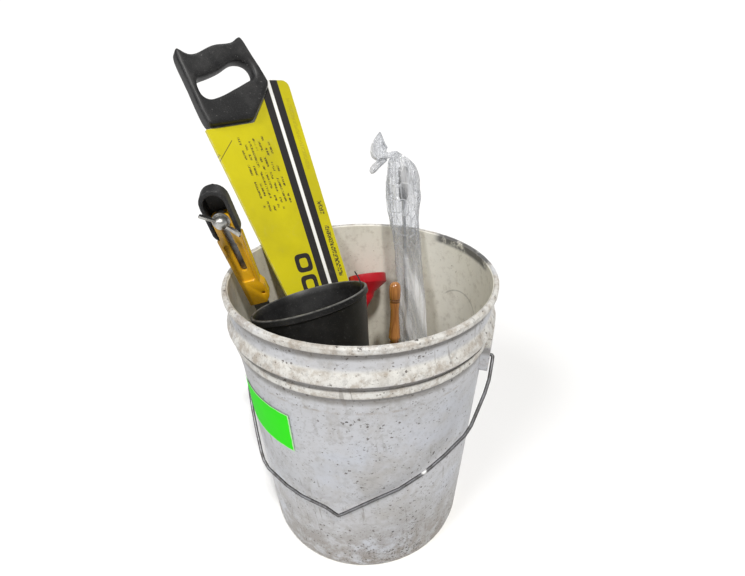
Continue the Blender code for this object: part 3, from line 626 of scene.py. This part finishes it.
def jab_body_look():
    k = Look("jab_body", 0.3)
    cloud = k.noise(25.0, 5.0, 0.6)
    c = k.mix(cloud, (0.78, 0.43, 0.010), (0.66, 0.34, 0.008))
    rub = k.edges(0.0016, 0.03, 0.3) * k.noise(130.0, 6.0, 0.72).step(0.44, 0.58)
    c = k.mix(rub * 0.85, c, (0.30, 0.27, 0.22))
    chips = k.noise(150.0, 6.0, 0.7).step(0.665, 0.69)
    c = k.mix(chips * 0.9, c, (0.13, 0.11, 0.09))
    grime = k.noise(55.0, 8.0, 0.7).step(0.52, 0.75)
    c = k.mix(grime * 0.4, c, (0.25, 0.14, 0.02))
    # painted shade: the body's left side face and a band below the wing nut made dark brown,
    # mottled by the grime noise
    u = k.along(JAB_MID, JAB_RIGHT)
    v = k.along(JAB_MID, JAB_UP)
    left_side_shade = u.step(-0.0045, -0.0085) * v.step(-0.010, -0.016)
    painted_shade = left_side_shade * 0.85 + v.band(-0.032, -0.004, 0.006) * 0.5
    c = k.mix(painted_shade.min(0.85) * (0.65 + grime * 0.35), c, (0.085, 0.050, 0.008))
    k.set("Base Color", c)
    k.set("Roughness", 0.24 + grime * 0.35)
    k.set("Coat Weight", 0.3)
    k.set("Normal", k.bump(k.noise(240.0, 3.0) + cloud, 0.0003, 0.5))
    return k.mat


def wood_look():
    k = Look("file_handle", 0.22)
    v = k.along(FILE_TOP, FILE_UP)
    u = k.along(FILE_TOP, RIGHT)
    w = k.along(FILE_TOP, FILE_UP.cross(RIGHT))
    grain = k.noise(150.0, 6.0, 0.62, k.vector(u, w, v * 0.05), 1.4)
    pores = k.noise(700.0, 3.0, 0.6, k.vector(u, w, v * 0.03))
    c = k.mix(grain.step(0.3, 0.72), (0.50, 0.215, 0.060), (0.27, 0.100, 0.026))
    c = k.mix(pores.step(0.58, 0.68) * 0.6, c, (0.15, 0.055, 0.015))
    burnt = v.bands(((-0.0250, -0.0228, 0.0004), (-0.0276, -0.0258, 0.0004)))
    c = k.mix(burnt * 0.75, c, (0.07, 0.028, 0.012))
    worn = k.noise(45.0, 7.0, 0.7).step(0.58, 0.74)
    k.set("Base Color", k.mix(worn * 0.45, c, (0.20, 0.11, 0.06)))
    k.set("Roughness", 0.20 + worn * 0.35)
    k.set("Coat Weight", 0.6)
    k.set("Coat Roughness", 0.10)
    k.set("Normal", k.bump(pores + grain * 0.5, 0.00018, 0.6))
    return k.mat


def funnel_look():
    k = Look("funnel", 0.3)
    cloud = k.noise(40.0, 6.0, 0.65)
    c = k.mix(cloud, (0.55, 0.008, 0.020), (0.36, 0.006, 0.014))
    rub = k.edges(0.0012) * k.noise(110.0, 5.0, 0.7).step(0.45, 0.62)
    c = k.mix(rub * 0.4, c, (0.75, 0.25, 0.22))
    dust = k.noise(150.0, 7.0, 0.7).step(0.58, 0.72)
    k.set("Base Color", k.mix(dust * 0.35, c, (0.32, 0.16, 0.13)))
    k.set("Roughness", 0.24 + cloud * 0.2)
    k.set("Subsurface Weight", 0.06)
    k.set("Subsurface Radius", (0.004, 0.001, 0.001))
    k.set("Normal", k.bump(cloud, 0.0004, 0.4))
    return k.mat


def film_look():
    """Clear poly film: near-invisible face on, milky at folds, with painted white glints on the
    creases and along the streaks.
    """
    k = Look("poly_bag", 0.16)
    rod_v = k.along(ROD_TOE, ROD_UP)
    rod_u = k.along(ROD_TOE, RIGHT)
    rod_w = k.along(ROD_TOE, ROD_UP.cross(RIGHT))
    # streaks follow the angle round the rod, so that they run unbroken along the folds
    round_rod = (rod_u - 0.004).atan2(rod_w * -1.0)
    long = k.vector(round_rod * 0.032, 0.0, rod_v * 0.030)
    creases = k.cracks(105.0, k.vector(rod_u, rod_w, rod_v * 0.45))
    crinkle = k.noise(75.0, 4.0, 0.6, k.vector(rod_u, rod_w, rod_v * 0.3), 0.8)
    streak_and_sheen = k.noise(150.0, 3.0, 0.62, long)
    ridge_and_glint = 1.0 - creases.step(0.0, 0.09)
    top = rod_v.step(0.30, 0.42) * 0.85 + 0.15
    bump = k.bump((crinkle * 0.7 + ridge_and_glint * 0.25) * top + streak_and_sheen, 0.0030, 0.8)
    # the streaks whiten the base colour: partly the film's own milkiness along folds, partly
    # painted highlights
    k.set("Base Color", k.mix(streak_and_sheen.step(0.40, 0.60), (0.66, 0.675, 0.70), (0.97, 0.97, 0.975)))
    k.set("Normal", bump)
    k.set("Roughness", 0.14 + crinkle * 0.14)
    k.set("Specular IOR Level", 0.8)
    k.set("Coat Weight", 0.4)
    facing = k.new("ShaderNodeLayerWeight")
    facing.inputs["Blend"].default_value = 0.42
    haze = Val(k, facing.outputs["Facing"]).power(1.4)
    # opacity from facing haze, plus streaks, creases and crinkles that are partly milky film and
    # partly painted glints
    body = 0.10 + top * 0.05 + haze * 0.36 + streak_and_sheen.step(0.44, 0.58) * 0.42
    body = body + (ridge_and_glint * 0.42 + crinkle.step(0.52, 0.68) * 0.22) * top
    glow = k.new("ShaderNodeBsdfTranslucent")
    glow.inputs["Color"].default_value = (0.78, 0.785, 0.80, 1.0)
    k.feed(glow.inputs["Normal"], bump)
    skin = k.new("ShaderNodeMixShader")
    skin.inputs[0].default_value = 0.35
    k.tree.links.new(k.bsdf.outputs[0], skin.inputs[1])
    k.tree.links.new(glow.outputs[0], skin.inputs[2])
    clear = k.new("ShaderNodeBsdfTransparent")
    clear.inputs["Color"].default_value = (0.975, 0.978, 0.985, 1.0)
    blend = k.new("ShaderNodeMixShader")
    out = k.tree.nodes["Material Output"]
    k.feed(blend.inputs[0], body.min(0.92))
    k.tree.links.new(clear.outputs[0], blend.inputs[1])
    k.tree.links.new(skin.outputs[0], blend.inputs[2])
    k.tree.links.new(blend.outputs[0], out.inputs["Surface"])
    return k.mat


# ---- the bag ------------------------------------------------------------------------------------

# Sections of the bag, in mm from the rod's toe. Along the rod: height, offset across, half width,
# half depth, and how deeply the film is gathered
BAG_BODY = (
    (3.0, 8.0, 20.0, 12.0, 0.14), (60.0, 8.5, 20.5, 12.0, 0.16), (130.0, 8.8, 20.5, 12.5, 0.18),
    (220.0, 8.6, 20.5, 12.5, 0.20), (300.0, 7.6, 19.8, 12.5, 0.22), (345.0, 4.8, 19.4, 13.0, 0.24),
    (385.0, 1.0, 19.8, 13.5, 0.26), (412.0, 0.0, 23.0, 14.0, 0.26), (436.0, 0.4, 24.2, 14.0, 0.24),
    (455.0, -0.2, 22.6, 13.0, 0.26), (470.0, -2.0, 18.6, 11.5, 0.30),
    (479.0, -5.5, 12.5, 8.5, 0.38),
)
# Neck, knot and the flared ear above it: across, height, half width, half depth, lean in degrees,
# gather
BAG_NECK = (
    (-11.0, 482.5, 7.0, 5.4, 50.0, 0.30), (-14.5, 483.2, 4.4, 4.0, 76.0, 0.26),
    (-17.0, 482.8, 3.6, 3.4, 84.0, 0.10), (-20.0, 482.0, 4.8, 3.6, 74.0, 0.12),
    (-24.0, 482.2, 7.6, 3.8, 58.0, 0.30), (-27.6, 484.4, 11.4, 3.8, 38.0, 0.40),
    (-29.6, 488.6, 12.8, 3.7, 18.0, 0.42), (-30.2, 495.5, 10.2, 3.4, 4.0, 0.42),
    (-29.2, 502.4, 6.6, 2.8, -6.0, 0.40), (-28.2, 507.6, 3.3, 2.0, -8.0, 0.30),
    (-27.7, 511.2, 0.9, 0.9, -8.0, 0.1),
)
# The loose end that hangs below the knot, in the same columns as the neck
BAG_TAIL = (
    (-21.5, 479.5, 3.6, 2.6, 128.0, 0.3), (-27.0, 475.6, 4.4, 2.8, 126.0, 0.4),
    (-32.5, 471.4, 4.8, 2.8, 130.0, 0.4), (-37.0, 467.2, 5.0, 2.6, 138.0, 0.4),
    (-40.2, 463.4, 3.4, 2.0, 142.0, 0.2), (-41.2, 461.8, 1.0, 1.0, 144.0, 0.1),
)


BAG_BACK = 1.5      # the bag's middle line lies this far behind the rod's, mm


def smooth_rows(rows, count):
    """Catmull-Rom through the rows, evenly in row number."""
    out = []
    last = len(rows) - 1
    for i in range(count):
        t = i / (count - 1) * last
        j = min(int(t), last - 1)
        f = t - j
        p = [rows[max(j - 1, 0)], rows[j], rows[j + 1], rows[min(j + 2, last)]]
        out.append([0.5 * (2 * b + (c - a) * f + (2 * a - 5 * b + 4 * c - d) * f * f
                           + (3 * b - a - 3 * c + d) * f ** 3) for a, b, c, d in zip(*p)])
    return out


def bag_ring(bm, n, height, rx, ry, gather, seed):
    """One closed section of film about the origin, in mm: broad folds, fine pleats, small dents."""
    vs = []
    for k in range(n):
        a = 2 * math.pi * k / n
        ca, sa = math.cos(a), math.sin(a)
        q = Vector((ca * 1.9, sa * 1.9, height * 0.006 + seed))
        folds = abs(noise.noise(q * 1.35)) * 1.7
        pleat = abs(noise.noise(Vector((ca * 4.6, sa * 4.6, height * 0.010 + seed)))) * 1.1
        crush = noise.noise(Vector((ca * 5.0, sa * 5.0, height * 0.075)))
        s = 1.0 - gather * min(1.0, folds * 0.9 + pleat * 0.6) + crush * gather * 0.22
        s = max(0.42, min(s, 1.03))
        vs.append(bm.verts.new((rx * s * ca, ry * s * sa, 0.0)))
    return vs


def build_bag():
    n = 132  # points round each section
    bm = bmesh.new()

    def skin(rings, ends):
        for a, b in zip(rings, rings[1:]):
            for k in range(n):
                m = (k + 1) % n
                bm.faces.new((a[k], a[m], b[m], b[k]))
        for ring in ends:
            bm.faces.new(ring)

    def bent(rows, count, seed):
        rings = []
        for dx, h, rx, ry, lean, g in smooth_rows(rows, count):
            vs = bag_ring(bm, n, h, rx, ry, g, seed)
            turn = (Matrix.Translation((dx, BAG_BACK, h))
                    @ Matrix.Rotation(math.radians(-lean), 4, "Y"))
            bmesh.ops.transform(bm, matrix=turn, verts=vs)
            rings.append(vs)
        return rings

    rings = []
    for h, dx, rx, ry, g in smooth_rows(BAG_BODY, 150):
        vs = bag_ring(bm, n, h, rx, ry, g, 0.0)
        sag = 0.9 * noise.noise(Vector((h * 0.02, 3.1, 0.0)))
        for v in vs:
            v.co += Vector((dx + sag, BAG_BACK, h))
        rings.append(vs)
    rings += bent(BAG_NECK, 52, 2.0)
    skin(rings, rings[-1:])
    tail = bent(BAG_TAIL, 16, 5.0)
    skin(tail, (tail[0], tail[-1]))
    bmesh.ops.recalc_face_normals(bm, faces=bm.faces)
    bmesh.ops.scale(bm, vec=(MM, MM, MM), verts=bm.verts)
    me = bpy.data.meshes.new("bag_film")
    bm.to_mesh(me)
    bm.free()
    me.shade_smooth()
    ob = bpy.data.objects.new("bag_film", me)
    bpy.context.scene.collection.objects.link(ob)
    left_side_shade = (RIGHT - ROD_UP * RIGHT.dot(ROD_UP)).normalized()
    m = Matrix((left_side_shade, ROD_UP.cross(left_side_shade), ROD_UP)).transposed().to_4x4()
    m.translation = ROD_TOE
    ob.matrix_world = m
    film = ob.modifiers.new("film", "SOLIDIFY")
    film.thickness = 0.12 * MM
    film.offset = -1.0
    me.materials.append(film_look())
    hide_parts("poly_bag")
    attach(ob, "bagged_rod")


# ---- floor, light, camera -----------------------------------------------------------------------

# Brightness of the backdrop: what it adds for the camera, and what it casts on the object
BACKDROP_SEEN, BACKDROP_CAST = 0.82, 0.26
# Lamps: name, turn from the front and rise in degrees, energy, spread in degrees, colour
LAMPS = (
    ("key", 16.0, 61.0, 2.55, 5.0, (1.0, 0.985, 0.96)),
    ("fill", -46.0, 42.0, 1.15, 18.0, (0.97, 0.98, 1.0)),
    ("back", 165.0, 48.0, 0.45, 40.0, (1.0, 1.0, 1.0)),
)


def stage():
    bm = bmesh.new()
    bmesh.ops.create_grid(bm, x_segments=1, y_segments=1, size=40.0)
    me = bpy.data.meshes.new("floor")
    bm.to_mesh(me)
    bm.free()
    floor = bpy.data.objects.new("floor", me)
    floor.location = (0, 0, -0.0004)  # a hair below the pail's foot
    bpy.context.scene.collection.objects.link(floor)
    k = Look("floor_paper", 0.9)
    k.set("Base Color", k.mix(k.noise(3.0, 2.0), (0.85, 0.85, 0.85), (0.83, 0.83, 0.83)))
    me.materials.append(k.mat)

    world = bpy.data.worlds.new("studio")
    bpy.context.scene.world = world
    world.use_nodes = True
    nodes, links = world.node_tree.nodes, world.node_tree.links
    back = nodes["Background"]
    back.inputs["Color"].default_value = (1.0, 1.0, 1.0, 1.0)
    ray, power = nodes.new("ShaderNodeLightPath"), nodes.new("ShaderNodeMath")
    power.operation = "MULTIPLY_ADD"
    power.inputs[1].default_value = BACKDROP_SEEN
    power.inputs[2].default_value = BACKDROP_CAST
    links.new(ray.outputs["Is Camera Ray"], power.inputs[0])
    links.new(power.outputs[0], back.inputs["Strength"])

    for name, turn, rise, energy, spread, colour in LAMPS:
        lamp = bpy.data.lights.new(name, "SUN")
        lamp.energy, lamp.color, lamp.angle = energy, colour, math.radians(spread)
        ob = bpy.data.objects.new(name, lamp)
        bpy.context.scene.collection.objects.link(ob)
        az, el = math.radians(turn), math.radians(rise)
        aim = Vector((math.sin(az) * math.cos(el), -math.cos(az) * math.cos(el), math.sin(el)))
        ob.location = aim * 2.0
        ob.rotation_euler = aim.to_track_quat("Z", "Y").to_euler()


CAMERA_AT = (0.0, -0.4695, 0.5940)
CAMERA_TURN = (-0.026, 0.577, -0.014)   # yaw, pitch down and roll, radians


def camera():
    yaw, pitch, roll = CAMERA_TURN
    level = math.cos(pitch)
    forward = Vector((-math.sin(yaw) * level, math.cos(yaw) * level, -math.sin(pitch)))
    right = Vector((math.cos(yaw), math.sin(yaw), 0.0))
    up = right.cross(forward)
    right, up = (right * math.cos(roll) + up * math.sin(roll),
                 up * math.cos(roll) - right * math.sin(roll))
    data = bpy.data.cameras.new("camera")
    data.sensor_width = 36.0
    data.lens = 22.36
    data.shift_y = 0.0567
    data.clip_start = 0.01
    ob = bpy.data.objects.new("camera", data)
    bpy.context.scene.collection.objects.link(ob)
    m = Matrix((right, up, -forward)).transposed().to_4x4()
    m.translation = CAMERA_AT
    ob.matrix_world = m
    bpy.context.scene.camera = ob
    bpy.context.scene.view_settings.view_transform = "Standard"


# ---- build --------------------------------------------------------------------------------------

zinc = steel_look("jab_wing_nut", (0.62, 0.62, 0.60), (0.30, 0.29, 0.27), 0.30,
                  scale=110.0, bite=0.0004).mat
dress("bucket", pail_look(), 36.0)
dress("label", label_look(), 30.0)
dress("bail", bail_look(), 60.0)
dress("saw_sleeve", sleeve_look(), 30.0)
dress("saw_blade", steel_look("saw_blade", (0.56, 0.57, 0.58), (0.47, 0.475, 0.48), 0.26,
                              scale=26.0).mat, 20.0)
dress("saw_handle", black_plastic("saw_handle", 0.010, 0.22, 0.40, 1100.0, (0.16, 0.16, 0.16),
                                  0.0022).mat, 70.0, melt=0.0011,
      bands=((SAW_ORIGIN, SAW_UP, -0.008, 0.012), (SAW_ORIGIN, SAW_X, -0.128, -0.112),
             (SAW_ORIGIN, SAW_X, -0.036, -0.054)))
dress("jab_body", jab_body_look(), 34.0, bevel=0.0007)
dress("jab_grip", black_plastic("jab_grip", 0.009, 0.20, 0.44, 600.0, (0.22, 0.21, 0.20),
                                0.0020).mat, 70.0, melt=0.0009)
dress("jab_blade", steel_look("jab_blade", (0.34, 0.35, 0.36), (0.15, 0.14, 0.13), 0.38).mat, 20.0)
for n in ("jab_bolt", "jab_washer", "jab_wing_nut"):
    dress(n, zinc, 34.0)
dress("plant_pot", pot_look(), 40.0)
dress("cable_tie", black_plastic("cable_tie", 0.012, 0.1, 0.34, 1500.0).mat, 34.0)
dress("funnel", funnel_look(), 40.0)
dress("rod_shaft", steel_look("rod_shaft", (0.52, 0.53, 0.55), (0.30, 0.30, 0.31), 0.26).mat, 40.0)
dress("rod_cap", black_plastic("rod_cap", 0.014, 0.2, 0.40, 900.0).mat, 36.0)
dress("file_handle", wood_look(), 40.0)
dress("file_ferrule", steel_look("file_ferrule", (0.62, 0.45, 0.20), (0.30, 0.20, 0.09),
                                 0.32).mat, 36.0)
dress("file_blade", steel_look("file_blade", (0.28, 0.29, 0.30), (0.12, 0.12, 0.12), 0.42,
                               (1.0, 1.0, 9.0), 120.0, 0.0005).mat, 20.0)
build_bag()
stage()
camera()
